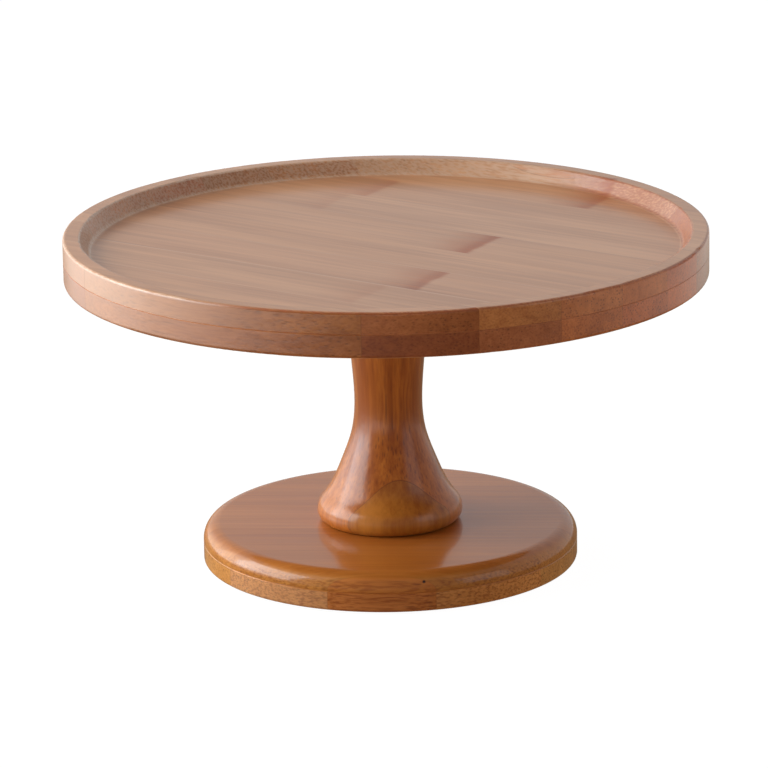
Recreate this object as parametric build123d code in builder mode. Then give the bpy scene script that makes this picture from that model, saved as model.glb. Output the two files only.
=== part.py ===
"""Footed cake stand of laminated bamboo: a rimmed tray, a turned pedestal and a round base.

Millimetres. +Z is up, and the origin is the centre of the footprint, on the table.
The tray and the base are each cut from a board of two plies, and each ply is edge-glued
from flat bamboo strips. The pedestal is turned from a blank of four glued staves.
The tray screws onto a stud in the pedestal, and a screw through the base holds the pedestal.
"""

import os
from math import cos, radians, sin

from build123d import *

# Overall sizes
TRAY_DIAMETER = 250
OVERALL_HEIGHT = 133
BASE_DIAMETER = 147

# Tray
TRAY_THICKNESS = 17.5
TRAY_TOP_PLY = 8.5
RIM_WIDTH = 6.6
RECESS_DEPTH = 6.2
RECESS_WALL_RUN = 3.6
RECESS_COVE = 2.4
RIM_EDGE = 1.2
TRAY_LOWER_EDGE = 1.3
TRAY_GRAIN_ANGLE = -35
TRAY_FIRST_JOINT = -107.6

# Base
BASE_THICKNESS = 15
BASE_BOTTOM_PLY = 7.6
BASE_UPPER_EDGE = 6.6
BASE_LOWER_EDGE = 1.2
BASE_GRAIN_ANGLE = -3
BASE_FIRST_JOINT = -70.5

# Bamboo boards
STRIP_WIDTH = 28
GLUE_GROOVE = 0.22

# Pedestal, from the foot up
FOOT_CONTACT_RADIUS = 25.8
FOOT_RADIUS = 28.5
FOOT_WIDEST_ABOVE_BASE = 4.4
SHOULDER_RADIUS = 25.4
SHOULDER_ABOVE_BASE = 11
SLOPE_RADIUS = 18.6
SLOPE_ABOVE_BASE = 24.5
WAIST_RADIUS = 14.6
WAIST_ABOVE_BASE = 36
NECK_RADIUS = 13.3
NECK_ABOVE_BASE = 50
THROAT_RADIUS = 14.2
THROAT_ABOVE_BASE = 64
CAP_RADIUS = 23.5
CAP_TOP_RADIUS = 22.8
CAP_EDGE = 1.5
CAP_FLARE_ANGLE = 50
OUTER_STAVE_FROM_AXIS = 20
STAVE_ANGLE = 10

# Fasteners, with threads drawn as plain shanks of the outside diameter
WASHER_THICKNESS = 1
WASHER_RADIUS = 19
WASHER_HOLE_RADIUS = 5
STUD_RADIUS = 4
STUD_ABOVE_PEDESTAL = 8.8
STUD_IN_PEDESTAL = 30
STUD_POINT = 5
STUD_CHAMFER = 0.8
INSERT_RADIUS = 6
INSERT_BORE_RADIUS = 4.05
INSERT_LENGTH = 8.6
INSERT_FLANGE_RADIUS = 8.5
INSERT_FLANGE_THICKNESS = 1.2
INSERT_LEAD_IN = 0.6
SCREW_RADIUS = 3
SCREW_LENGTH = 50
SCREW_POINT = 7
SCREW_HEAD_RADIUS = 6
SCREW_HEAD_HEIGHT = 3.4
SCREW_HEAD_SUNK = 0.6
SCREW_CLEARANCE = 0.25
SCREW_DRIVE_ACROSS_FLATS = 4
SCREW_DRIVE_DEPTH = 2.4

# Feet
PAD_COUNT = 4
PAD_RADIUS = 7
PAD_THICKNESS = 2
PAD_RECESS = 1
PAD_EDGE = 0.3
PAD_FIT = 0.1
PAD_CIRCLE_RADIUS = 56
FIRST_PAD_ANGLE = 45

# Levels and radii worked out from the sizes above
base_bottom = PAD_THICKNESS - PAD_RECESS
base_top = base_bottom + BASE_THICKNESS
base_joint = base_bottom + BASE_BOTTOM_PLY
tray_top = OVERALL_HEIGHT
tray_bottom = tray_top - TRAY_THICKNESS
tray_joint = tray_top - TRAY_TOP_PLY
floor_level = tray_top - RECESS_DEPTH
pedestal_top = tray_bottom - WASHER_THICKNESS
tray_radius = TRAY_DIAMETER / 2
base_radius = BASE_DIAMETER / 2
rim_inner_radius = tray_radius - RIM_WIDTH
floor_radius = rim_inner_radius - RECESS_WALL_RUN
screw_head_level = base_bottom + SCREW_HEAD_SUNK


def write(piece, name):
    """Labels a finished piece and writes it as its own node."""
    piece.part.label = name
    export_step(piece.part, f"parts/{name}.step")


def glue_line(radius, level):
    """The section of a fine V groove round the edge of a board, between its plies."""
    with BuildSketch(Plane.XZ) as groove:
        with Locations((radius, level)):
            RegularPolygon(GLUE_GROOVE, 4)
    return groove.sketch


def strip_edges(first_joint, radius):
    """The two long edges of each strip in a round board, from the front of the board to the back."""
    joints = [-radius]
    joint = first_joint
    while joint < radius:
        joints.append(joint)
        joint += STRIP_WIDTH
    joints.append(radius)
    return list(zip(joints, joints[1:]))


def write_strips(board, name, levels, grain_angle, edges):
    """Cuts one ply of a board into its strips and writes each of them."""
    bottom, top = levels
    for number, (front, back) in enumerate(edges, start=1):
        with BuildPart() as strip:
            add(board.part)
            with BuildSketch(Plane.XY.offset(bottom).rotated((0, 0, grain_angle))):
                with Locations((0, (front + back) / 2)):
                    Rectangle(2 * TRAY_DIAMETER, back - front)
            extrude(amount=top - bottom, mode=Mode.INTERSECT)
        write(strip, f"{name}_{number}")


def around_pads():
    """The places of the feet, under the base."""
    return PolarLocations(PAD_CIRCLE_RADIUS, PAD_COUNT, start_angle=FIRST_PAD_ANGLE)


os.makedirs("parts", exist_ok=True)

# The whole tray: a disc with a recess whose wall leans out and meets the floor in a cove
with BuildPart() as tray_board:
    with BuildSketch(Plane.XZ) as tray_section:
        with BuildLine():
            Polyline(
                (0, tray_bottom),
                (tray_radius, tray_bottom),
                (tray_radius, tray_top),
                (rim_inner_radius, tray_top),
                (floor_radius, floor_level),
                (0, floor_level),
                close=True,
            )
        make_face()
        floor_corner = tray_section.vertices().group_by(Axis.Y)[1].sort_by(Axis.X)[-1]
        fillet(floor_corner, RECESS_COVE)
        fillet(tray_section.vertices().group_by(Axis.Y)[-1], RIM_EDGE)
        fillet(tray_section.vertices().group_by(Axis.Y)[0].sort_by(Axis.X)[-1], TRAY_LOWER_EDGE)
    revolve(axis=Axis.Z)
    revolve(glue_line(tray_radius, tray_joint), axis=Axis.Z, mode=Mode.SUBTRACT)
    with BuildSketch(Plane.XY.offset(tray_bottom)):
        Circle(INSERT_RADIUS)
    extrude(amount=tray_joint - tray_bottom, mode=Mode.SUBTRACT)
    with BuildSketch(Plane.XY.offset(tray_bottom)):
        Circle(INSERT_FLANGE_RADIUS)
    extrude(amount=INSERT_FLANGE_THICKNESS, mode=Mode.SUBTRACT)

tray_edges = strip_edges(TRAY_FIRST_JOINT, tray_radius)
write_strips(
    tray_board, "tray_top_strip", (tray_joint, tray_top), TRAY_GRAIN_ANGLE, tray_edges
)
write_strips(
    tray_board, "tray_bottom_strip", (tray_bottom, tray_joint), TRAY_GRAIN_ANGLE, tray_edges
)

# The whole base: a disc with a rounded upper edge, a screw hole and shallow seats for the feet
with BuildPart() as base_board:
    with BuildSketch(Plane.XZ) as base_section:
        with BuildLine():
            Polyline(
                (0, base_bottom),
                (base_radius, base_bottom),
                (base_radius, base_top),
                (0, base_top),
                close=True,
            )
        make_face()
        fillet(base_section.vertices().group_by(Axis.X)[-1].sort_by(Axis.Y)[-1], BASE_UPPER_EDGE)
        fillet(base_section.vertices().group_by(Axis.X)[-1].sort_by(Axis.Y)[0], BASE_LOWER_EDGE)
    revolve(axis=Axis.Z)
    revolve(glue_line(base_radius, base_joint), axis=Axis.Z, mode=Mode.SUBTRACT)
    with BuildSketch(Plane.XZ):
        with BuildLine():
            Polyline(
                (0, base_bottom),
                (SCREW_HEAD_RADIUS, base_bottom),
                (SCREW_HEAD_RADIUS, screw_head_level),
                (SCREW_RADIUS + SCREW_CLEARANCE, screw_head_level + SCREW_HEAD_HEIGHT),
                (SCREW_RADIUS + SCREW_CLEARANCE, base_top),
                (0, base_top),
                close=True,
            )
        make_face()
    revolve(axis=Axis.Z, mode=Mode.SUBTRACT)
    with BuildSketch(Plane.XY.offset(base_bottom)):
        with around_pads():
            Circle(PAD_RADIUS + PAD_FIT)
    extrude(amount=PAD_RECESS, mode=Mode.SUBTRACT)

base_edges = strip_edges(BASE_FIRST_JOINT, base_radius)
write_strips(
    base_board, "base_top_strip", (base_joint, base_top), BASE_GRAIN_ANGLE, base_edges
)
write_strips(
    base_board, "base_bottom_strip", (base_bottom, base_joint), BASE_GRAIN_ANGLE, base_edges
)

# The whole pedestal, turned: a rounded foot, a narrow neck and a wider cap under the tray
foot_widest = (FOOT_RADIUS, base_top + FOOT_WIDEST_ABOVE_BASE)
cap_widest = (CAP_RADIUS, pedestal_top - CAP_EDGE)
cap_flare = (cos(radians(CAP_FLARE_ANGLE)), sin(radians(CAP_FLARE_ANGLE)))
with BuildPart() as pedestal_blank:
    with BuildSketch(Plane.XZ):
        with BuildLine():
            TangentArc(foot_widest, (FOOT_CONTACT_RADIUS, base_top), tangent=(0, -1))
            Spline(
                foot_widest,
                (SHOULDER_RADIUS, base_top + SHOULDER_ABOVE_BASE),
                (SLOPE_RADIUS, base_top + SLOPE_ABOVE_BASE),
                (WAIST_RADIUS, base_top + WAIST_ABOVE_BASE),
                (NECK_RADIUS, base_top + NECK_ABOVE_BASE),
                (THROAT_RADIUS, base_top + THROAT_ABOVE_BASE),
                cap_widest,
                tangents=[(0, 1), cap_flare],
            )
            TangentArc(cap_widest, (CAP_TOP_RADIUS, pedestal_top), tangent=cap_flare)
            Polyline(
                (CAP_TOP_RADIUS, pedestal_top),
                (0, pedestal_top),
                (0, base_top),
                (FOOT_CONTACT_RADIUS, base_top),
            )
        make_face()
    revolve(axis=Axis.Z)

# The fasteners
with BuildPart() as tray_stud:
    with BuildSketch(Plane.XZ):
        with BuildLine():
            Polyline(
                (0, pedestal_top - STUD_IN_PEDESTAL),
                (STUD_RADIUS, pedestal_top - STUD_IN_PEDESTAL + STUD_POINT),
                (STUD_RADIUS, pedestal_top + STUD_ABOVE_PEDESTAL - STUD_CHAMFER),
                (STUD_RADIUS - STUD_CHAMFER, pedestal_top + STUD_ABOVE_PEDESTAL),
                (0, pedestal_top + STUD_ABOVE_PEDESTAL),
                close=True,
            )
        make_face()
    revolve(axis=Axis.Z)
write(tray_stud, "tray_stud")

with BuildPart() as tray_insert:
    with BuildSketch(Plane.XY.offset(tray_bottom)):
        Circle(INSERT_FLANGE_RADIUS)
    extrude(amount=INSERT_FLANGE_THICKNESS)
    with BuildSketch(Plane.XY.offset(tray_bottom)):
        Circle(INSERT_RADIUS)
    extrude(amount=INSERT_LENGTH)
    with BuildSketch(Plane.XY.offset(tray_bottom)):
        Circle(INSERT_BORE_RADIUS)
    extrude(amount=INSERT_LENGTH, mode=Mode.SUBTRACT)
    mouth = tray_insert.edges().filter_by(GeomType.CIRCLE).group_by(Axis.Z)[0]
    chamfer(mouth.sort_by(SortBy.RADIUS)[0], INSERT_LEAD_IN)
write(tray_insert, "tray_insert")

with BuildPart() as tray_washer:
    with BuildSketch(Plane.XY.offset(pedestal_top)):
        Circle(WASHER_RADIUS)
        Circle(WASHER_HOLE_RADIUS, mode=Mode.SUBTRACT)
    extrude(amount=WASHER_THICKNESS)
write(tray_washer, "tray_washer")

with BuildPart() as base_screw:
    with BuildSketch(Plane.XZ):
        with BuildLine():
            Polyline(
                (0, screw_head_level),
                (SCREW_HEAD_RADIUS, screw_head_level),
                (SCREW_RADIUS, screw_head_level + SCREW_HEAD_HEIGHT),
                (SCREW_RADIUS, screw_head_level + SCREW_LENGTH - SCREW_POINT),
                (0, screw_head_level + SCREW_LENGTH),
                close=True,
            )
        make_face()
    revolve(axis=Axis.Z)
    with BuildSketch(Plane.XY.offset(screw_head_level)):
        RegularPolygon(SCREW_DRIVE_ACROSS_FLATS / 2, 6, major_radius=False)
    extrude(amount=SCREW_DRIVE_DEPTH, mode=Mode.SUBTRACT)
write(base_screw, "base_screw")

# The pedestal's staves, split by upright glue planes and bored for the stud and the screw.
# The waist is narrower than the two middle staves, so turning leaves each outer stave in two
# pieces, one at the foot and one at the cap.
neck_level = base_top + NECK_ABOVE_BASE
whole_height = (base_top, pedestal_top)
foot_half = (base_top, neck_level)
cap_half = (neck_level, pedestal_top)
staves = [
    ("front_foot_stave", -FOOT_RADIUS, -OUTER_STAVE_FROM_AXIS, foot_half),
    ("front_cap_stave", -FOOT_RADIUS, -OUTER_STAVE_FROM_AXIS, cap_half),
    ("middle_front_stave", -OUTER_STAVE_FROM_AXIS, 0, whole_height),
    ("middle_back_stave", 0, OUTER_STAVE_FROM_AXIS, whole_height),
    ("back_foot_stave", OUTER_STAVE_FROM_AXIS, FOOT_RADIUS, foot_half),
    ("back_cap_stave", OUTER_STAVE_FROM_AXIS, FOOT_RADIUS, cap_half),
]
for stave_name, front, back, (bottom, top) in staves:
    with BuildPart() as stave:
        add(pedestal_blank.part)
        with BuildSketch(Plane.XY.offset(bottom).rotated((0, 0, STAVE_ANGLE))):
            with Locations((0, (front + back) / 2)):
                Rectangle(4 * FOOT_RADIUS, back - front)
        extrude(amount=top - bottom, mode=Mode.INTERSECT)
        add(tray_stud.part, mode=Mode.SUBTRACT)
        add(base_screw.part, mode=Mode.SUBTRACT)
    write(stave, f"pedestal_{stave_name}")

# The feet, each in its own seat
pad_names = ["back_right", "back_left", "front_left", "front_right"]
for pad_name, place in zip(pad_names, around_pads().locations):
    with BuildPart() as pad:
        with BuildSketch(Plane.XY):
            with Locations(place):
                Circle(PAD_RADIUS)
        extrude(amount=PAD_THICKNESS)
        fillet(pad.edges().group_by(Axis.Z)[0], PAD_EDGE)
    write(pad, f"foot_pad_{pad_name}")
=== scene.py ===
"""The looks of a footed bamboo cake stand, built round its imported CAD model.

Metres, in the model's own frame: +Z up, the origin on the table under the base.
The boards and the pedestal keep their CAD shapes and get bamboo materials whose grain follows
each strip. The fasteners, the washer and the feet are rebuilt in finer detail.
"""

import math

import bmesh
import bpy
from mathutils import Matrix, Quaternion, Vector, noise


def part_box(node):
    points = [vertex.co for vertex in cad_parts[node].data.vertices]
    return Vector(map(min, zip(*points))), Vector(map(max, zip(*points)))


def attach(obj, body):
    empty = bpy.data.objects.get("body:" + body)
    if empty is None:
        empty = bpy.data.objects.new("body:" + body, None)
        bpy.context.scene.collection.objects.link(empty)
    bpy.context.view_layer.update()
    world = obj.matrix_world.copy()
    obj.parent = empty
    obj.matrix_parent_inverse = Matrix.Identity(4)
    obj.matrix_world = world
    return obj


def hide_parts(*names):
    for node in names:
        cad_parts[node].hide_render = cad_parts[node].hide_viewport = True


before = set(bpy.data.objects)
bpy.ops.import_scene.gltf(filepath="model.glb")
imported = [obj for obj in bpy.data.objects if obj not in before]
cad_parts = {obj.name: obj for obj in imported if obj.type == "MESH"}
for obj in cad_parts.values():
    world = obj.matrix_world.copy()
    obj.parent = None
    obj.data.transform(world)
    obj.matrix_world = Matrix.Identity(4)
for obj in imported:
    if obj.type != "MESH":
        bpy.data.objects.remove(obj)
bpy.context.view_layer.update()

TAU = 2 * math.pi
MM = 0.001

# How the grain lies, turned from +X about +Z
TRAY_GRAIN = math.radians(-35)
BASE_GRAIN = math.radians(-3)
STAVE_TURN = math.radians(10)

# Camera, as the stand is seen in the picture
CAMERA_LENS = 225.1
CAMERA_SENSOR = 36
CAMERA_DISTANCE = 1.875
CAMERA_ELEVATION = math.radians(15.92)
CAMERA_ROLL = math.radians(0.906)
CAMERA_AIM = Vector((-0.0016, 0, 0.0705))
CAMERA_NEAR, CAMERA_FAR = 0.01, 50


class Tree:
    """The nodes of a material or a world. The methods add nodes and give back an output."""

    def __init__(self, owner):
        owner.use_nodes = True
        self.owner = owner
        self.nodes = owner.node_tree.nodes
        self.links = owner.node_tree.links
        self.surface = self.nodes.get("Principled BSDF")

    def feed(self, socket, value):
        """Links an output to a socket, or sets the socket to a plain value."""
        if isinstance(value, bpy.types.NodeSocket):
            self.links.new(value, socket)
        else:
            socket.default_value = value

    def add(self, kind, inputs, settings=None, output=0):
        node = self.nodes.new(f"ShaderNode{kind}")
        for key, value in (settings or {}).items():
            setattr(node, key, value)
        for key, value in inputs.items():
            self.feed(node.inputs[key], value)
        return node.outputs[output]

    def math(self, operation, *values):
        return self.add("Math", dict(enumerate(values)), {"operation": operation})

    def times(self, first, *others):
        """The product of the values."""
        for other in others:
            first = self.math("MULTIPLY", first, other)
        return first

    def plus(self, first, *others):
        """The sum of the values."""
        for other in others:
            first = self.math("ADD", first, other)
        return first

    def minus(self, first, *others):
        """The first value less all the others."""
        for other in others:
            first = self.math("SUBTRACT", first, other)
        return first

    def vector(self, operation, *values, output=0):
        return self.add("VectorMath", dict(enumerate(values)), {"operation": operation}, output)

    def steps(self, value, low, high):
        """0 below low, 1 above high, and a smooth ramp between them."""
        inputs = {"Value": value, "From Min": low, "From Max": high}
        return self.add("MapRange", inputs, {"interpolation_type": "SMOOTHSTEP"})

    def remap(self, value, low, high):
        """0..1 stretched to low..high."""
        return self.add("MapRange", {"Value": value, "To Min": low, "To Max": high})

    def mix(self, factor, first, second, blend="MIX"):
        settings = {"data_type": "RGBA", "blend_type": blend, "clamp_factor": True}
        return self.add("Mix", {0: factor, 6: first, 7: second}, settings, output=2)

    def noise(self, position, cell, detail, roughness=0.5):
        """Cloudy noise whose patches are about one cell large."""
        position = self.vector("DIVIDE", position, cell)
        inputs = {"Vector": position, "Scale": 1, "Detail": detail, "Roughness": roughness}
        return self.add("TexNoise", inputs)

    def place(self):
        """The position on the object."""
        return self.nodes.new("ShaderNodeTexCoord").outputs["Object"]

    def property(self, name):
        """A number that each object carries."""
        node = self.nodes.new("ShaderNodeAttribute")
        node.attribute_type = "OBJECT"
        node.attribute_name = name
        return node.outputs["Fac"]

    def rotate(self, vector, axis, angle):
        settings = {"rotation_type": f"{axis}_AXIS"}
        return self.add("VectorRotate", {"Vector": vector, "Angle": angle}, settings)

    def split(self, vector):
        return self.add("SeparateXYZ", {"Vector": vector}).node.outputs

    def join(self, x, y, z):
        return self.add("CombineXYZ", {0: x, 1: y, 2: z})

    def bump(self, height, distance, strength, normal=None):
        inputs = {"Height": height, "Distance": distance, "Strength": strength}
        if normal:
            inputs["Normal"] = normal
        return self.add("Bump", inputs)


def new_material(name):
    return Tree(bpy.data.materials.new(name))


def colour(red, green, blue):
    return (red, green, blue, 1)


def long_cell(length, width):
    """The size of a pattern cell that is stretched along the grain."""
    return (length * MM, width * MM, width * MM)


def cube(size):
    """The size of a pattern cell that is as long as it is wide."""
    return (size * MM, size * MM, size * MM)


# ---------------------------------------------------------------- bamboo

# The wood's patterns: each one's cell, and the range of its values that makes its marks
SEED_STEP = (1.7, 0.9, 1.3)
FIBRE_CELL, FIBRE_RANGE = long_cell(70, 1.05), (0.46, 0.12)
STREAK_CELL, GRAIN_RANGE = long_cell(75, 2.6), (0.32, 0.68)
PORE_CELL, PORE_RANGE = long_cell(9, 0.8), (0.4, 0.7)
DRIFT_CELL = long_cell(110, 15)
STREAK_ROUGHNESS = 0.6

# Ranges of the squared upward part of the normal, in the grain's axes: 1 on a strip's flat face
# and 0 on its cut sides
SIDE_RANGE = (0.75, 0.3)
CUT_RANGE = (0.45, 0.15)
CORNER_START, CORNER_END = (0.06, 0.3), (0.97, 0.85)
PEEL_RANGE = (0.98, 0.8)

# How much more of the fibres a cut side and an end show than a flat face does
CUT_FIBRES = 0.3
END_FIBRES = 0.25

# A knuckle's dark band: how it fades on one side and ends on the other, how it slants, bends and
# feathers with the wood, and how strong it is outside its core
KNUCKLE_FADE = 24 * MM
KNUCKLE_EDGE = 1.5 * MM
KNUCKLE_SLANT = 0.12
KNUCKLE_BEND = 5 * MM
KNUCKLE_FEATHER = 34 * MM
KNUCKLE_CORE = (-9 * MM, -2 * MM)
KNUCKLE_HALO = 0.62

# Lines and painted light: the widths of the glue lines and of the painted contact shadow where a stave
# ends, how strong they are, and where the strips' left ends get a painted paler veil of light and the
# rim's edge turns from a pale painted highlight to painted shade in dark red
GLUE_LINE = 0.17 * MM
PALE_LINE = 0.45 * MM
CONTACT_SHADOW_HEIGHT = 0.7 * MM
GLUE_PATCHES = (0.1, 0.8)
FLAT_GLUE = 0.25
CONTACT_SHADOW_STRENGTH = 0.8
PAINTED_LIGHT_REACH = 58 * MM
EDGE_LIGHT_HALVES = (-10 * MM, 30 * MM)
EDGE_LIGHT_PATCHES, EDGE_LIGHT_LEAST = (0.35, 0.6), 0.35

FIBRE_COLOUR = colour(0.10, 0.026, 0.006)
# Glue lines, and the painted contact shadow where a stave ends
GLUE_AND_CONTACT_SHADOW_COLOUR = colour(0.12, 0.036, 0.010)
KNUCKLE_COLOUR = colour(0.72, 0.42, 0.24)
SPECKLE_COLOUR = colour(0.62, 0.48, 0.38)
# Pale glue lines, and the pale painted highlight on the rim's edge
PALE_GLUE_AND_EDGE_HIGHLIGHT_COLOUR = colour(0.74, 0.48, 0.32)
# The painted paler veil of light on the strips' left ends
PAINTED_LIGHT_COLOUR = colour(0.52, 0.35, 0.25)
STAIN_COLOUR = colour(0.70, 0.64, 0.62)
# Painted shade inside the pin hole
HOLE_SHADE_COLOUR = colour(0.02, 0.008, 0.004)
# Painted shade on the rim's edge, on the half away from the light
RED_EDGE_COLOUR = colour(0.40, 0.10, 0.035)

# The lacquer: a gentle ripple, finer orange peel on the edges, and the grain showing through.
# Each relief is (height, strength)
RIPPLE_CELL, RIPPLE_RELIEF = cube(9), (0.25 * MM, 0.15)
PEEL_CELL, PEEL_RELIEF = cube(2.4), (0.12 * MM, 0.5)
WOOD_RELIEF = (0.05 * MM, 0.7)
COAT_RELIEF = (0.03 * MM, 0.5)
STREAK_HEIGHT = 0.4
WOOD_ROUGHNESS = (0.34, 0.52)
WOOD_SPECULAR = 0.15
COAT = 0.9
KNUCKLE_COAT_LOSS = 0.35


class Bamboo(Tree):
    """A bamboo material: the patterns of the wood, and the steps that colour it."""

    def __init__(self, name, turns):
        """turns take the object's axes to the grain's: x along, y across, z through the strip."""
        super().__init__(bpy.data.materials.new(name))
        place = self.nodes.new("ShaderNodeTexCoord")
        position, normal = place.outputs["Object"], place.outputs["Normal"]
        self.unturned = position
        for axis, angle in turns:
            position = self.rotate(position, axis, angle)
            normal = self.rotate(normal, axis, angle)
        seeded = {0: SEED_STEP, 3: self.property("grain_seed")}
        offset = self.add("VectorMath", seeded, {"operation": "SCALE"})
        self.shifted = self.vector("ADD", position, offset)
        self.along, self.across, _ = self.split(position)
        self.end_face, _, self.flat_face = self.split(self.vector("MULTIPLY", normal, normal))
        self.side_face = self.steps(self.flat_face, *SIDE_RANGE)
        self.cut_face = self.steps(self.flat_face, *CUT_RANGE)
        self.streaks = self.noise(self.shifted, STREAK_CELL, 5, STREAK_ROUGHNESS)
        self.drift = self.noise(self.shifted, DRIFT_CELL, 2)
        self.pores = self.noise(self.shifted, PORE_CELL, 2)
        self.rough = self.minus(1, self.property("calm"))
        self.speckle = self.times(self.cut_face, self.rough, self.property("speckle"))

    def fibres(self, strength):
        """Fibre bundles: fine dark lines along the strip, and dots where it is cut across."""
        bundle = self.nodes.new("ShaderNodeTexVoronoi")
        self.feed(bundle.inputs["Vector"], self.vector("DIVIDE", self.shifted, FIBRE_CELL))
        bundle.inputs["Scale"].default_value = 1
        core = self.steps(bundle.outputs["Distance"], *FIBRE_RANGE)
        bundles = self.times(core, self.split(bundle.outputs["Color"])[0])
        on_cuts = self.times(self.cut_face, CUT_FIBRES)
        on_ends = self.times(self.end_face, END_FIBRES)
        contrast = self.plus(on_cuts, strength, on_ends)
        return self.times(bundles, self.times(contrast, self.rough))

    def knuckle(self):
        """Where the strip crosses a knuckle of the culm: crisp on one side, feathered on the other."""
        middle = 0.5
        bend = self.times(self.minus(self.drift, middle), KNUCKLE_BEND)
        slant = self.times(self.across, KNUCKLE_SLANT)
        beyond = self.plus(self.minus(self.along, self.property("knuckle_at")), bend, slant)
        feather = self.times(self.minus(self.streaks, middle), KNUCKLE_FEATHER)
        rising = self.steps(self.plus(beyond, feather), -KNUCKLE_FADE, KNUCKLE_CORE[1])
        falling = self.steps(beyond, KNUCKLE_EDGE, -KNUCKLE_EDGE)
        core = self.remap(self.steps(beyond, *KNUCKLE_CORE), KNUCKLE_HALO, 1)
        return self.times(rising, falling, core, self.property("knuckle"))

    def streaked(self, light, dark, side):
        """The streaks of the wood, and the deeper stain on its turned and cut sides."""
        half = 0.5
        grain = self.plus(self.times(self.streaks, half), self.times(self.drift, half))
        shade = self.mix(self.steps(grain, *GRAIN_RANGE), dark, light)
        return self.mix(self.side_face, shade, side, "MULTIPLY")

    def speckled(self, shade):
        """The open pores of the cut sides."""
        open_pores = self.times(self.steps(self.pores, *PORE_RANGE), self.speckle)
        return self.mix(open_pores, shade, SPECKLE_COLOUR, "MULTIPLY")

    def toned(self, shade):
        """The strip's own tones on its flat face and its sides, a painted paler veil of light on its
        left end, where the light comes from, and its stain.
        """
        face, side = (
            self.join(*(self.property(f"{part}_{band}") for band in "rgb")) for part in ("face", "side")
        )
        shade = self.mix(1, shade, self.mix(self.side_face, face, side), "MULTIPLY")
        # A painted paler veil of light on the left end of the strip, where the light comes from
        left_half = self.steps(self.along, PAINTED_LIGHT_REACH, -PAINTED_LIGHT_REACH)
        lit_end = self.times(left_half, self.cut_face, self.property("painted_light"))
        shade = self.mix(lit_end, shade, PAINTED_LIGHT_COLOUR)
        stained = self.times(self.cut_face, self.property("stain"))
        return self.mix(stained, shade, STAIN_COLOUR, "MULTIPLY")

    def edge_gap(self):
        """How far the nearer long edge of the strip is."""
        front_gap = self.minus(self.across, self.property("front_edge"))
        back_gap = self.minus(self.property("back_edge"), self.across)
        return self.math("MINIMUM", front_gap, back_gap)

    def glue(self, gap):
        """The thin glue lines along the strip's long edges, stronger in places."""
        patches = self.remap(self.drift, *GLUE_PATCHES)
        return self.times(self.steps(gap, GLUE_LINE, 0), patches, self.property("glue"))

    def glued(self, shade, gap, glue):
        """The glue lines beside the strip: dark on its sides, pale on some flat faces."""
        dark = self.times(glue, self.remap(self.side_face, FLAT_GLUE, 1))
        shade = self.mix(dark, shade, GLUE_AND_CONTACT_SHADOW_COLOUR)
        pale_line = self.times(self.steps(gap, PALE_LINE, 0), self.property("pale_glue"))
        return self.mix(self.times(pale_line, self.remap(self.side_face, 1, 0)), shade, PALE_GLUE_AND_EDGE_HIGHLIGHT_COLOUR)

    def lit_edge(self, shade):
        """The sharp upper edge: a painted highlight, pale and patchy on the left half, where the light
        comes from, and painted shade in dark red on the other half.
        """
        corner = self.times(
            self.steps(self.flat_face, *CORNER_START),
            self.steps(self.flat_face, *CORNER_END),
            self.property("edge_light"),
        )
        edge_colour = self.mix(self.steps(self.along, *EDGE_LIGHT_HALVES), PALE_GLUE_AND_EDGE_HIGHLIGHT_COLOUR, RED_EDGE_COLOUR)
        patchy = self.remap(self.steps(self.pores, *EDGE_LIGHT_PATCHES), EDGE_LIGHT_LEAST, 1)
        return self.mix(self.times(corner, patchy), shade, edge_colour)

    def with_painted_shade(self, shade, spots):
        """Painted shade: near-black spots for the shade inside small holes, as (place, radius), and a
        painted contact shadow just above where a stave ends.
        """
        # Painted shade inside holes: a near-black spot
        for spot, radius in spots:
            away = self.vector("DISTANCE", self.unturned, spot, output=1)
            shade = self.mix(self.steps(away, radius, radius / 2), shade, HOLE_SHADE_COLOUR)
        # A painted contact shadow: a dark line just above where the stave ends
        above_seat = self.minus(self.split(self.unturned)[2], self.property("seat"))
        contact_shadow = self.times(self.steps(above_seat, CONTACT_SHADOW_HEIGHT, 0), CONTACT_SHADOW_STRENGTH)
        return self.mix(contact_shadow, shade, GLUE_AND_CONTACT_SHADOW_COLOUR)

    def lacquer(self):
        """The relief of the lacquer itself."""
        ripple = self.noise(self.shifted, RIPPLE_CELL, 2)
        peel = self.noise(self.shifted, PEEL_CELL, 2)
        peel = self.times(peel, self.steps(self.flat_face, *PEEL_RANGE))
        return self.bump(ripple, *RIPPLE_RELIEF, self.bump(peel, *PEEL_RELIEF))


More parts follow.
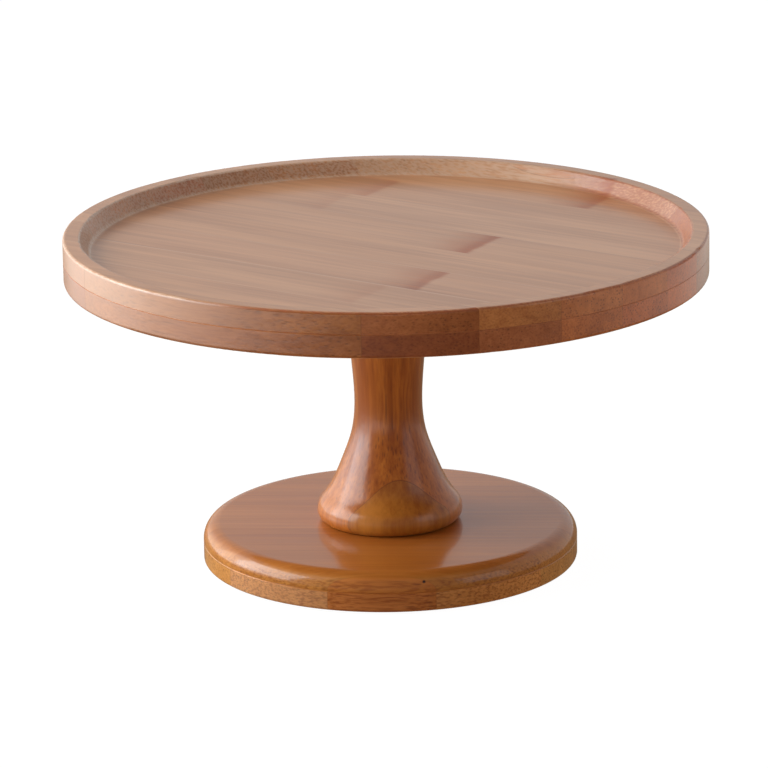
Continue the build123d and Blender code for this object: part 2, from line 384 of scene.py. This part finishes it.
def bamboo(name, turns, light, dark, side, fibre_strength, coat_roughness, spots=()):
    """Lacquered bamboo, in a light and a dark tone and with a tint for its sides."""
    tree = Bamboo(name, turns)
    fibres, knuckle, gap = tree.fibres(fibre_strength), tree.knuckle(), tree.edge_gap()
    glue = tree.glue(gap)
    shade = tree.streaked(light, dark, side)
    shade = tree.mix(fibres, shade, FIBRE_COLOUR)
    shade = tree.speckled(shade)
    shade = tree.mix(knuckle, shade, KNUCKLE_COLOUR, "MULTIPLY")
    # The strips' tones, with a painted paler veil of light on the left ends of some
    shade = tree.toned(shade)
    shade = tree.glued(shade, gap, glue)
    # Painted highlight and shade on the rim's edge
    shade = tree.lit_edge(shade)
    # Painted shade in the pin hole, and a painted contact shadow where a stave ends
    shade = tree.with_painted_shade(shade, spots)

    hollows = (fibres, glue, tree.times(tree.pores, tree.speckle))
    relief = tree.minus(tree.times(tree.streaks, STREAK_HEIGHT), *hollows)
    lacquer = tree.lacquer()
    surface = tree.surface.inputs
    tree.feed(surface["Base Color"], shade)
    tree.feed(surface["Roughness"], tree.remap(tree.streaks, *WOOD_ROUGHNESS))
    tree.feed(surface["Normal"], tree.bump(relief, *WOOD_RELIEF, lacquer))
    tree.feed(surface["Coat Normal"], tree.bump(relief, *COAT_RELIEF, lacquer))
    tree.feed(surface["Coat Weight"], tree.minus(COAT, tree.times(knuckle, KNUCKLE_COAT_LOSS)))
    surface["Specular IOR Level"].default_value = WOOD_SPECULAR
    surface["Coat Roughness"].default_value = coat_roughness
    return tree.owner


PLAIN = (1, 1, 1)
TRAY_SIDE = colour(0.96, 0.72, 0.44)
BASE_SIDE = colour(1.08, 1.06, 1.0)
PEDESTAL_SIDE = colour(1, 1, 1)
TRAY_TURNS = [("Z", -TRAY_GRAIN)]
BASE_TURNS = [("Z", -BASE_GRAIN)]
STAVE_TURNS = [("Z", -STAVE_TURN), ("Y", math.pi / 2)]
# How strongly the fibres show, and the coat's roughness
TRAY_FINISH = (0.12, 0.2)
BASE_FINISH = (0.15, 0.11)
PEDESTAL_FINISH = (0.35, 0.2)
# The place and radius of the pin hole in the front of the base, painted as a near-black spot for the
# shade inside it
PIN_HOLE = (Vector((12.45, -71.9, 12.9)) * MM, 0.95 * MM)
pale, pale_streak = colour(0.69, 0.315, 0.138), colour(0.49, 0.198, 0.073)
tan, tan_streak = colour(0.56, 0.192, 0.033), colour(0.43, 0.130, 0.017)
brown, brown_streak = colour(0.62, 0.195, 0.020), colour(0.33, 0.075, 0.004)
tray_bamboo = bamboo(
    "lacquered_tray_bamboo", TRAY_TURNS, pale, pale_streak, TRAY_SIDE, *TRAY_FINISH
)
base_bamboo = bamboo(
    "lacquered_base_bamboo", BASE_TURNS, tan, tan_streak, BASE_SIDE, *BASE_FINISH, [PIN_HOLE]
)
pedestal_bamboo = bamboo(
    "lacquered_pedestal_bamboo", STAVE_TURNS, brown, brown_streak, PEDESTAL_SIDE, *PEDESTAL_FINISH
)

# What a piece's shader reads from it, beside its tones and its grain's seed
TRAITS = {
    "calm": 0,
    "knuckle": 0,
    "knuckle_at": 0,
    "front_edge": -1,
    "back_edge": 1,
    "glue": 1,
    "pale_glue": 0,
    # The rim edge's painted highlight is off unless a piece turns it on
    "edge_light": 0,
    # The left ends' painted paler veil of light is off unless a piece turns it on
    "painted_light": 0,
    "speckle": 0.5,
    "stain": 0,
    "seat": -1,
}


def dress(node, material, seed, face, side, traits):
    """Gives a bamboo piece its material, its tones and its own traits."""
    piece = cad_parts[node]
    piece.data.materials.clear()
    piece.data.materials.append(material)
    piece["grain_seed"] = float(seed)
    for part, tone in (("face", face), ("side", side)):
        for band, value in zip("rgb", tone):
            piece[f"{part}_{band}"] = float(value)
    for trait, value in {**TRAITS, **traits}.items():
        piece[trait] = float(value)


def long_edges(node, grain):
    """Where a strip's two long edges lie, across the grain."""
    across = Vector((-math.sin(grain), math.cos(grain), 0))
    offsets = [vertex.co.dot(across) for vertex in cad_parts[node].data.vertices]
    return min(offsets), max(offsets)


# One entry a strip, front to back: its face's tone, its sides' tone, and its knuckle as
# (strength, place along the strip in mm)
NO_KNUCKLE = (0, 0)
TRAY_TOP_STRIPS = [
    (PLAIN, (0.60, 0.58, 0.46), NO_KNUCKLE),
    ((1.02, 1.02, 1.04), (0.62, 0.54, 0.52), NO_KNUCKLE),
    ((1.00, 1.02, 1.06), (0.92, 1.00, 1.10), (0.25, 30)),
    ((0.98, 0.97, 0.98), (0.95, 0.92, 1.00), (0.85, 43)),
    (PLAIN, (1.00, 0.90, 0.84), NO_KNUCKLE),
    ((0.97, 0.97, 0.98), (0.96, 0.74, 0.84), (1.0, 36)),
    ((1.05, 1.10, 1.20), PLAIN, (0.25, -51)),
    ((1.04, 1.07, 1.14), (1.17, 1.22, 1.20), (0.6, -44)),
    ((1.02, 1.02, 1.02), (1.12, 1.60, 2.80), (0.8, 47)),
    (PLAIN, (1.00, 1.20, 1.80), NO_KNUCKLE),
]
TRAY_BOTTOM_STRIPS = [
    (PLAIN, (0.57, 0.52, 0.46), NO_KNUCKLE),
    (PLAIN, (0.47, 0.34, 0.34), NO_KNUCKLE),
    (PLAIN, (0.72, 0.65, 0.84), NO_KNUCKLE),
    (PLAIN, (0.92, 0.81, 0.79), (0.5, 60)),
    (PLAIN, (0.94, 0.75, 0.77), NO_KNUCKLE),
    (PLAIN, (1.07, 0.84, 0.80), NO_KNUCKLE),
    (PLAIN, (0.94, 0.92, 0.92), NO_KNUCKLE),
    (PLAIN, (1.02, 1.00, 1.00), (0.6, -70)),
    (PLAIN, (0.96, 0.95, 0.94), NO_KNUCKLE),
    (PLAIN, PLAIN, NO_KNUCKLE),
]
BASE_TOP_STRIPS = [
    ((0.92, 0.88, 0.84), (1.06, 1.06, 1.25), NO_KNUCKLE),
    (PLAIN, (1.06, 1.25, 1.6), NO_KNUCKLE),
    ((0.97, 0.95, 0.93), (1.06, 1.25, 1.5), NO_KNUCKLE),
    ((1.02, 1.03, 1.04), (1.02, 1.03, 1.04), NO_KNUCKLE),
    ((0.97, 0.95, 0.94), (0.99, 0.98, 0.98), NO_KNUCKLE),
    ((1.01, 1.01, 1.02), (1.01, 1.01, 1.02), NO_KNUCKLE),
    (PLAIN, PLAIN, NO_KNUCKLE),
]
BASE_BOTTOM_STRIPS = [
    (PLAIN, (1.16, 1.18, 1.9), NO_KNUCKLE),
    (PLAIN, (1.45, 1.85, 3.3), NO_KNUCKLE),
    (PLAIN, (1.30, 1.80, 3.2), NO_KNUCKLE),
    (PLAIN, (0.95, 0.93, 0.92), NO_KNUCKLE),
    (PLAIN, (1.02, 1.00, 0.98), NO_KNUCKLE),
    (PLAIN, (0.97, 0.95, 0.94), NO_KNUCKLE),
    (PLAIN, PLAIN, NO_KNUCKLE),
]
# The front strips' left ends get a painted paler veil of light, where the light comes from
OWN_TRAITS = {
    "tray_top_strip_1": {"painted_light": 0.6},
    "tray_top_strip_2": {"painted_light": 0.6},
    "tray_top_strip_3": {"pale_glue": 0.5},
    "tray_top_strip_4": {"pale_glue": 0.5, "speckle": 0.3},
    "tray_top_strip_5": {"speckle": 0.3},
    "tray_top_strip_6": {"speckle": 0.3},
    "tray_top_strip_7": {"pale_glue": 0.3, "speckle": 0.2, "stain": 1},
    "tray_top_strip_8": {"speckle": 0.15, "stain": 1},
    "tray_top_strip_9": {"speckle": 0.15},
    "tray_top_strip_10": {"speckle": 0.15},
    "tray_bottom_strip_1": {"painted_light": 0.4},
    "tray_bottom_strip_2": {"painted_light": 0.4},
    "tray_bottom_strip_7": {"stain": 1},
    "tray_bottom_strip_8": {"stain": 1},
    "tray_bottom_strip_9": {"stain": 1},
    "tray_bottom_strip_10": {"stain": 1},
    "base_top_strip_1": {"speckle": 0.7},
    "base_top_strip_2": {"speckle": 0.7},
    "base_bottom_strip_1": {"speckle": 0.95},
    "base_bottom_strip_2": {"speckle": 1.0, "painted_light": 0.3},
}
TRAY_TRAITS = {"glue": 0.8}
# The rim's sharp upper edge gets a painted highlight, pale on its left half and dark red painted shade
# on the other
RIM_TRAITS = {"glue": 0.8, "edge_light": 0.8}
BASE_TRAITS = {"glue": 0.3}
SEEDS_PER_BOARD = 20
BOARDS = [
    ("tray_top_strip", tray_bamboo, TRAY_GRAIN, TRAY_TOP_STRIPS, RIM_TRAITS),
    ("tray_bottom_strip", tray_bamboo, TRAY_GRAIN, TRAY_BOTTOM_STRIPS, TRAY_TRAITS),
    ("base_top_strip", base_bamboo, BASE_GRAIN, BASE_TOP_STRIPS, BASE_TRAITS),
    ("base_bottom_strip", base_bamboo, BASE_GRAIN, BASE_BOTTOM_STRIPS, BASE_TRAITS),
]
for board_number, (board, material, grain, strips, board_traits) in enumerate(BOARDS):
    for number, (face, side, (knuckle, knuckle_place)) in enumerate(strips, start=1):
        node = f"{board}_{number}"
        front, back = long_edges(node, grain)
        traits = {
            "knuckle": knuckle,
            "knuckle_at": knuckle_place * MM,
            "front_edge": -1 if number == 1 else front,
            "back_edge": 1 if number == len(strips) else back,
            **board_traits,
            **OWN_TRAITS.get(node, {}),
        }
        dress(node, material, SEEDS_PER_BOARD * board_number + number, face, side, traits)

# The pedestal's staves, with their tone, their glue planes in mm and how little fibre shows
STAVES = [
    ("front_foot", (0.92, 1.08, 1.5), (-60, -20), 0.85),
    ("front_cap", (1.08, 1.08, 1.08), (-60, -20), 0.6),
    ("middle_front", PLAIN, (-20, 0), 0.1),
    ("middle_back", (0.96, 0.94, 0.92), (0, 20), 0.1),
    ("back_foot", (1.06, 1.04, 1.02), (20, 60), 0.7),
    ("back_cap", (1.04, 1.04, 1.04), (20, 60), 0.6),
]
FIRST_STAVE_SEED = 100
STAVE_GLUE = 1.2
for number, (stave, tone, (front, back), calm) in enumerate(STAVES):
    node = f"pedestal_{stave}_stave"
    traits = {
        "front_edge": front * MM,
        "back_edge": back * MM,
        "glue": STAVE_GLUE,
        "calm": calm,
        # Where the stave ends; a painted contact shadow darkens it just above
        "seat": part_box(node)[0].z,
    }
    dress(node, pedestal_bamboo, FIRST_STAVE_SEED + number, tone, tone, traits)


# ---------------------------------------------------------------- hardware

def turned(name, section, shape=None, steps=64, closed=False):
    """A mesh turned about the Z axis from (radius, level) points, with the metal on its left.

    shape(radius, level, angle) may change a point's radius, for threads and sockets. An open
    section starts and ends on the axis. A closed one joins its last point to its first.
    """
    mesh = bmesh.new()
    rings = [ring_of(mesh, radius, level, shape, steps) for radius, level in section]
    pairs = list(zip(rings, rings[1:]))
    if closed:
        pairs.append((rings[-1], rings[0]))
    for lower, upper in pairs:
        for step in range(steps):
            after = (step + 1) % steps
            if len(lower) == 1:
                mesh.faces.new((lower[0], upper[after], upper[step]))
            elif len(upper) == 1:
                mesh.faces.new((lower[step], lower[after], upper[0]))
            else:
                mesh.faces.new((lower[step], lower[after], upper[after], upper[step]))
    bmesh.ops.recalc_face_normals(mesh, faces=mesh.faces)
    data = bpy.data.meshes.new(name)
    mesh.to_mesh(data)
    mesh.free()
    piece = bpy.data.objects.new(name, data)
    bpy.context.scene.collection.objects.link(piece)
    return piece


def ring_of(mesh, radius, level, shape, steps):
    """One ring of a turned mesh's points, or a single point on the axis."""
    if radius == 0:
        return [mesh.verts.new((0, 0, level))]
    ring = []
    for step in range(steps):
        angle = TAU * step / steps
        reach = shape(radius, level, angle) if shape else radius
        ring.append(mesh.verts.new((reach * math.cos(angle), reach * math.sin(angle), level)))
    return ring


def thread(level, angle, pitch, root, crest):
    """The radius of a right-hand 60 degree screw thread, with flat crests and roots."""
    root_flat, flank = 0.25, 0.625
    turn = (level / pitch - angle / TAU) % 1
    height = min(1, max(0, (abs(2 * turn - 1) - root_flat) / flank))
    return root + (crest - root) * height


def levels_between(start, end, spacing):
    """Evenly spaced levels from start to end."""
    count = max(1, round(abs(end - start) / spacing))
    return [start + (end - start) * number / count for number in range(count + 1)]


def fit_out(piece, node, body, material):
    """Puts a finished piece in place of its CAD node."""
    piece.data.materials.append(material)
    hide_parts(node)
    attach(piece, body)


def smooth(piece, angle=35):
    """Smooth shading, with the edges sharper than the angle kept crisp."""
    piece.data.shade_smooth()
    piece.data.set_sharp_from_angle(angle=math.radians(angle))


# The sizes of the metal's, the felt's and the rubber's patterns, the ranges of their values that
# make marks, and their reliefs as (height, strength)
TURNING_CELL, TURNING_HEIGHT, TURNING_ROUGHNESS = cube(0.12), 0.6, 0.14
CLOUD_CELL, CLOUD_RANGE, CLOUD_ROUGHNESS = cube(2.5), (0.35, 0.7), 0.16
PIT_CELL, PIT_RANGE, PIT_STRENGTH = cube(0.35), (0.62, 0.75), 0.5
METAL_RELIEF = (0.01 * MM, 0.4)
MATTED_CELL, MATTED_RANGE = (1.4 * MM, 1.4 * MM, 0.5 * MM), (0.3, 0.7)
FLUFF_CELL, FLUFF_RANGE, FLUFF_HEIGHT = (0.22 * MM, 0.22 * MM, 0.16 * MM), (0.5, 0.75), 0.7
FELT_RELIEF = (0.18 * MM, 0.8)
MOULD_CELL = cube(0.3)
BLOOM_CELL, BLOOM_RANGE, BLOOM_ROUGHNESS = cube(4), (0.4, 0.75), (0.5, 0.78)
RUBBER_RELIEF = (0.04 * MM, 0.6)


def metal(name, tint, tarnish, roughness):
    """Machined metal: fine turning marks round the axis, cloudy patches and faint pits."""
    tree = new_material(name)
    place = tree.place()
    x, y, level = tree.split(place)
    reach = tree.vector("LENGTH", tree.join(x, y, 0), output=1)
    marks = tree.noise(tree.join(reach, 0, level), TURNING_CELL, 2)
    clouds = tree.noise(place, CLOUD_CELL, 4)
    pits = tree.noise(place, PIT_CELL, 2)
    shade = tree.mix(tree.steps(clouds, *CLOUD_RANGE), tint, tarnish)
    pitted = tree.times(tree.steps(pits, *PIT_RANGE), PIT_STRENGTH)
    shade = tree.mix(pitted, shade, tarnish, "MULTIPLY")
    marked = tree.remap(marks, 0, TURNING_ROUGHNESS)
    finish = tree.plus(marked, tree.times(clouds, CLOUD_ROUGHNESS), roughness)
    relief = tree.plus(tree.times(marks, TURNING_HEIGHT), pits)
    surface = tree.surface.inputs
    tree.feed(surface["Base Color"], shade)
    tree.feed(surface["Roughness"], finish)
    tree.feed(surface["Normal"], tree.bump(relief, *METAL_RELIEF))
    surface["Metallic"].default_value = 1
    return tree.owner


def felt_material():
    """Pressed wool: matted fibres in two sizes, slightly paler where they catch the light."""
    dark, light, loose = colour(0.13, 0.085, 0.05), colour(0.22, 0.155, 0.10), colour(0.34, 0.26, 0.19)
    tree = new_material("brown_felt")
    place = tree.place()
    matted = tree.noise(place, MATTED_CELL, 4, roughness=0.65)
    fluff = tree.noise(place, FLUFF_CELL, 3, roughness=0.7)
    shade = tree.mix(tree.steps(matted, *MATTED_RANGE), dark, light)
    shade = tree.mix(tree.steps(fluff, *FLUFF_RANGE), shade, loose)
    relief = tree.plus(matted, tree.times(fluff, FLUFF_HEIGHT))
    surface = tree.surface.inputs
    tree.feed(surface["Base Color"], shade)
    tree.feed(surface["Normal"], tree.bump(relief, *FELT_RELIEF))
    surface["Roughness"].default_value = 0.95
    surface["Specular IOR Level"].default_value = 0.15
    surface["Sheen Weight"].default_value = 0.35
    surface["Sheen Roughness"].default_value = 0.5
    return tree.owner


def rubber_material():
    """Moulded rubber: nearly black, with the mould's fine texture and a dusty bloom."""
    dark, dusty = colour(0.035, 0.033, 0.031), colour(0.085, 0.08, 0.074)
    tree = new_material("soft_black_rubber")
    place = tree.place()
    texture = tree.noise(place, MOULD_CELL, 3)
    bloom = tree.noise(place, BLOOM_CELL, 4)
    surface = tree.surface.inputs
    tree.feed(surface["Base Color"], tree.mix(tree.steps(bloom, *BLOOM_RANGE), dark, dusty))
    tree.feed(surface["Roughness"], tree.remap(bloom, *BLOOM_ROUGHNESS))
    tree.feed(surface["Normal"], tree.bump(texture, *RUBBER_RELIEF))
    surface["Specular IOR Level"].default_value = 0.35
    return tree.owner


MACHINE_PITCH = 1.25 * MM
STUD_ROOT = 3.3 * MM
STUD_CREST = 4.0 * MM
STUD_CLEARANCE = 0.05 * MM
THREAD_PLAY = 0.1 * MM
INSERT_PITCH = 2.5 * MM
INSERT_ROOT = 5.2 * MM
INSERT_CREST = 6.0 * MM
SCREW_PITCH = 2.4 * MM
SCREW_ROOT = 2.1 * MM
SCREW_CREST = 3.0 * MM
ROWS_PER_TURN = 12


def stud():
    """The M8 stud: threaded all the way, chamfered on top and pointed below."""
    low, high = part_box("tray_stud")
    chamfer, point = 0.8 * MM, 5 * MM
    reach = high.x
    rows = levels_between(low.z + point, high.z - chamfer, MACHINE_PITCH / ROWS_PER_TURN)
    section = [(0, low.z), (reach / 2, low.z + point / 2)]
    section += [(reach, level) for level in rows]
    section += [(reach - chamfer, high.z), (0, high.z)]

    def shape(radius, level, angle):
        return min(radius, thread(level, angle, MACHINE_PITCH, STUD_ROOT, STUD_CREST))

    return turned("stud_thread", section, shape, steps=36)


def insert():
    """The flanged brass insert: a coarse wood thread outside and the M8 thread inside."""
    low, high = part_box("tray_insert")
    flange, flange_top, lead_in, bevel = high.x, low.z + 1.2 * MM, 0.6 * MM, 0.3 * MM
    bore = STUD_CREST + STUD_CLEARANCE
    section = [
        (bore + lead_in, low.z),
        (flange - bevel, low.z),
        (flange, low.z + bevel),
        (flange, flange_top),
        (INSERT_CREST, flange_top),
    ]
    outside = levels_between(flange_top, high.z, INSERT_PITCH / ROWS_PER_TURN)[1:]
    inside = levels_between(high.z, low.z + lead_in, MACHINE_PITCH / ROWS_PER_TURN)
    section += [(INSERT_CREST, level) for level in outside]
    section += [(bore, level) for level in inside]

    def shape(radius, level, angle):
        if radius == bore:
            groove = thread(level, angle, MACHINE_PITCH, STUD_ROOT, STUD_CREST)
            return min(bore, groove + THREAD_PLAY)
        if radius == INSERT_CREST and level > flange_top:
            return thread(level, angle, INSERT_PITCH, INSERT_ROOT, INSERT_CREST)
        return radius

    return turned("insert_body", section, shape, closed=True)


def hexagon(radius, angle):
    """How far a hexagon of that inner radius reaches at an angle."""
    sixth = TAU / 6
    return radius / math.cos(angle % sixth - sixth / 2)


def wood_screw():
    """The countersunk screw under the base: a hex socket, a plain neck, then a coarse thread."""
    low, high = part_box("base_screw")
    head, neck, point = 3.4 * MM, 12 * MM, 7 * MM
    socket_reach, socket_depth, bevel = 2 * MM, 2.4 * MM, 0.25 * MM
    reach, row = high.x, SCREW_PITCH / ROWS_PER_TURN
    section = [
        (0, low.z + socket_depth),
        (socket_reach, low.z + socket_depth),
        (socket_reach, low.z + bevel),
        (socket_reach + 2 * bevel, low.z),
        (reach - bevel, low.z),
        (reach, low.z + bevel),
        (SCREW_CREST, low.z + head),
    ]
    shank = levels_between(low.z + head, high.z - point, row)[1:]
    taper = levels_between(high.z - point, high.z, row)[1:-1]
    section += [(SCREW_CREST, level) for level in shank]
    section += [(SCREW_CREST * (high.z - level) / point, level) for level in taper]
    section.append((0, high.z))

    def shape(radius, level, angle):
        if radius == socket_reach:
            return hexagon(radius, angle)
        if radius <= SCREW_CREST and level > low.z + neck:
            return min(radius, thread(level, angle, SCREW_PITCH, SCREW_ROOT, SCREW_CREST))
        return radius

    return turned("screw_body", section, shape, steps=48)


def washer():
    """The felt ring between the pedestal and the tray, soft at its cut edges."""
    low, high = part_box("tray_washer")
    outer, hole, edge, sunk = high.x, 5 * MM, 0.3 * MM, 0.03 * MM
    round_off, spacing, tuft, fray = 0.1 * MM, 1 * MM, 0.6 * MM, 0.16 * MM
    base, top = low.z + sunk, high.z - sunk
    section = [(radius, base) for radius in levels_between(hole + edge, outer - edge, spacing)]
    section += [(outer - round_off, base + edge / 2), (outer, base + edge)]
    section += [(outer, top - edge), (outer - round_off, top - edge / 2)]
    section += [(radius, top) for radius in levels_between(outer - edge, hole + edge, spacing)]
    section += [(hole, top - edge), (hole, base + edge)]

    def shape(radius, level, angle):
        place = Vector((radius * math.cos(angle), radius * math.sin(angle), level))
        ragged = abs(noise.noise(place / tuft)) * fray
        if radius > outer - edge:
            return radius - ragged
        return radius + ragged if radius < hole + edge else radius

    return turned("felt_ring", section, shape, steps=180, closed=True)


# A foot's profile in mm: its underside as (radius, height), a shallow dish, a step and the ring that
# stands on the table; and its rounded rim as (distance in from the outer radius, height)
PAD_UNDERSIDE = [(0, 0.45), (2.2, 0.45), (2.6, 0.3), (3.9, 0.3), (4.3, 0.05), (4.7, 0)]
PAD_RIM = [(0.5, 0), (0.15, 0.1), (0, 0.4)]
PAD_BEVEL = 0.1 * MM


def pad(node):
    """A moulded foot: a raised ring that stands on the table round a shallow dish."""
    low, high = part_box(node)
    reach = (high.x - low.x) / 2
    section = [(radius * MM, low.z + height * MM) for radius, height in PAD_UNDERSIDE]
    section += [(reach - inset * MM, low.z + height * MM) for inset, height in PAD_RIM]
    section += [(reach, high.z - PAD_BEVEL), (reach - PAD_BEVEL, high.z), (0, high.z)]
    piece = turned(f"moulded_{node}", section, steps=72)
    middle = ((low.x + high.x) / 2, (low.y + high.y) / 2, 0)
    piece.data.transform(Matrix.Translation(middle))
    return piece


zinc = metal("bright_zinc", colour(0.66, 0.67, 0.66), colour(0.50, 0.50, 0.47), 0.2)
brass = metal("machined_brass", colour(0.72, 0.52, 0.24), colour(0.55, 0.37, 0.16), 0.18)
felt = felt_material()
rubber = rubber_material()
for make, node, body, slot, material in (
    (stud, "tray_stud", "stand", "zinc_steel", zinc),
    (insert, "tray_insert", "tray", "insert_brass", brass),
    (wood_screw, "base_screw", "stand", "zinc_steel", zinc),
    (washer, "tray_washer", "washer", "washer_felt", felt),
):
    piece = make()
    smooth(piece)
    fit_out(piece, node, body, material)
for corner in ("back_right", "back_left", "front_left", "front_right"):
    node = f"foot_pad_{corner}"
    piece = pad(node)
    smooth(piece)
    fit_out(piece, node, "stand", rubber)


# ---------------------------------------------------------------- stage

# What the stand mirrors: white cards on a dim wall and a dim warm floor. Each card has its
# bearing, where it starts to fade in and is full along that bearing, and its brightness. A wall's
# places are cosines from the bearing, a floor's are metres from the stand's axis
WALL_GLOW = 0.18
WALL_CARDS = {
    "back": (165, -0.35, 0.75, 0.41),
    "left": (-105, 0.5, 0.97, 1.35),
}
FLOOR_GLOW = (0.24, 0.155, 0.075)
FLOOR_CARDS = {
    "left": (-127, 0.10, 0.20, 0.1),
    "far": (-90, 0.27, 0.42, 0.8),
    "near": (-55, 0.465, 0.565, 1.5),
    "right": (110, 0.28, 0.5, 0.6),
}
SEEN_FLOOR = 0.98
FLOOR_ALBEDO = 0.08
FLOOR_REACH = 8


def area_light(name, place, target, size, power, tint=(1, 1, 1)):
    """A soft rectangular light that faces a point."""
    light = bpy.data.lights.new(name, "AREA")
    light.shape = "RECTANGLE"
    light.size, light.size_y = size
    light.energy = power
    light.color = tint
    lamp = bpy.data.objects.new(name, light)
    lamp.location = place
    lamp.rotation_mode = "QUATERNION"
    lamp.rotation_quaternion = (Vector(target) - Vector(place)).to_track_quat("-Z", "Y")
    lamp.visible_camera = False
    bpy.context.scene.collection.objects.link(lamp)


def heading(angle):
    """The level direction at a bearing: 0 towards the camera, 90 to the right."""
    return (math.sin(math.radians(angle)), -math.cos(math.radians(angle)), 0)


def glow_of(tree, place, cards, glow):
    """How bright the cards are at a place, on top of an even glow."""
    for bearing, fade_start, fade_end, level in cards.values():
        towards = tree.vector("DOT_PRODUCT", place, heading(bearing), output=1)
        glow = tree.plus(tree.times(tree.steps(towards, fade_start, fade_end), level), glow)
    return tree.join(glow, glow, glow)


def camera_ray(tree):
    """1 where the camera itself looks, 0 for reflections and bounced light."""
    return tree.nodes.new("ShaderNodeLightPath").outputs["Is Camera Ray"]


def floor():
    """A plain floor: white to the camera, dim and warm with bright cards in reflections."""
    mesh = bpy.data.meshes.new("floor")
    reach = FLOOR_REACH
    corners = [(-reach, -reach, 0), (reach, -reach, 0), (reach, reach, 0), (-reach, reach, 0)]
    mesh.from_pydata(corners, [], [(0, 1, 2, 3)])
    plane = bpy.data.objects.new("floor", mesh)
    bpy.context.scene.collection.objects.link(plane)
    tree = new_material("white_floor")
    mirrored = tree.vector("ADD", glow_of(tree, tree.place(), FLOOR_CARDS, 0), FLOOR_GLOW)
    seen = colour(SEEN_FLOOR, SEEN_FLOOR, SEEN_FLOOR)
    surface = tree.surface.inputs
    surface["Base Color"].default_value = colour(FLOOR_ALBEDO, FLOOR_ALBEDO, FLOOR_ALBEDO)
    surface["Roughness"].default_value = 1
    surface["Specular IOR Level"].default_value = 0
    surface["Emission Strength"].default_value = 1
    tree.feed(surface["Emission Color"], tree.mix(camera_ray(tree), mirrored, seen))
    mesh.materials.append(tree.owner)


def surroundings():
    """The studio's walls: white to the camera, dim with cards behind and on the left elsewhere."""
    world = bpy.data.worlds.new("studio")
    bpy.context.scene.world = world
    tree = Tree(world)
    direction = tree.nodes.new("ShaderNodeTexCoord").outputs["Generated"]
    mirrored = glow_of(tree, direction, WALL_CARDS, WALL_GLOW)
    white = colour(1, 1, 1)
    background = tree.nodes["Background"].inputs
    background["Color"].default_value = white
    tree.feed(background["Strength"], tree.mix(camera_ray(tree), mirrored, white))


def camera():
    """The picture's own viewpoint: in front, a little above the tray, with a long lens."""
    data = bpy.data.cameras.new("camera")
    data.lens, data.sensor_width = CAMERA_LENS, CAMERA_SENSOR
    data.clip_start, data.clip_end = CAMERA_NEAR, CAMERA_FAR
    viewer = bpy.data.objects.new("camera", data)
    back = Vector((0, -math.cos(CAMERA_ELEVATION), math.sin(CAMERA_ELEVATION)))
    viewer.location = CAMERA_AIM + CAMERA_DISTANCE * back
    viewer.rotation_mode = "QUATERNION"
    looking = (-back).to_track_quat("-Z", "Y")
    viewer.rotation_quaternion = Quaternion(back, -CAMERA_ROLL) @ looking
    bpy.context.scene.collection.objects.link(viewer)
    bpy.context.scene.camera = viewer


floor()
surroundings()
camera()
# Each light's name, place, target, size, power in watts and tint
COOL = (0.87, 0.95, 1.0)
area_light("left_window", (-0.8, -0.1, 0.36), (0, 0, 0.06), (0.75, 0.6), 6.0, COOL)
area_light("left_softbox", (-0.5, 0.15, 0.23), (0, 0.15, 0.23), (0.4, 0.45), 0.6)
area_light("left_high", (-0.75, -0.4, 0.8), (0, 0, 0.1), (0.5, 0.5), 0.5)
area_light("right_fill", (0.9, -0.55, 0.35), (0, 0, 0.06), (0.6, 0.6), 0.8)
bpy.context.scene.view_settings.view_transform = "Standard"
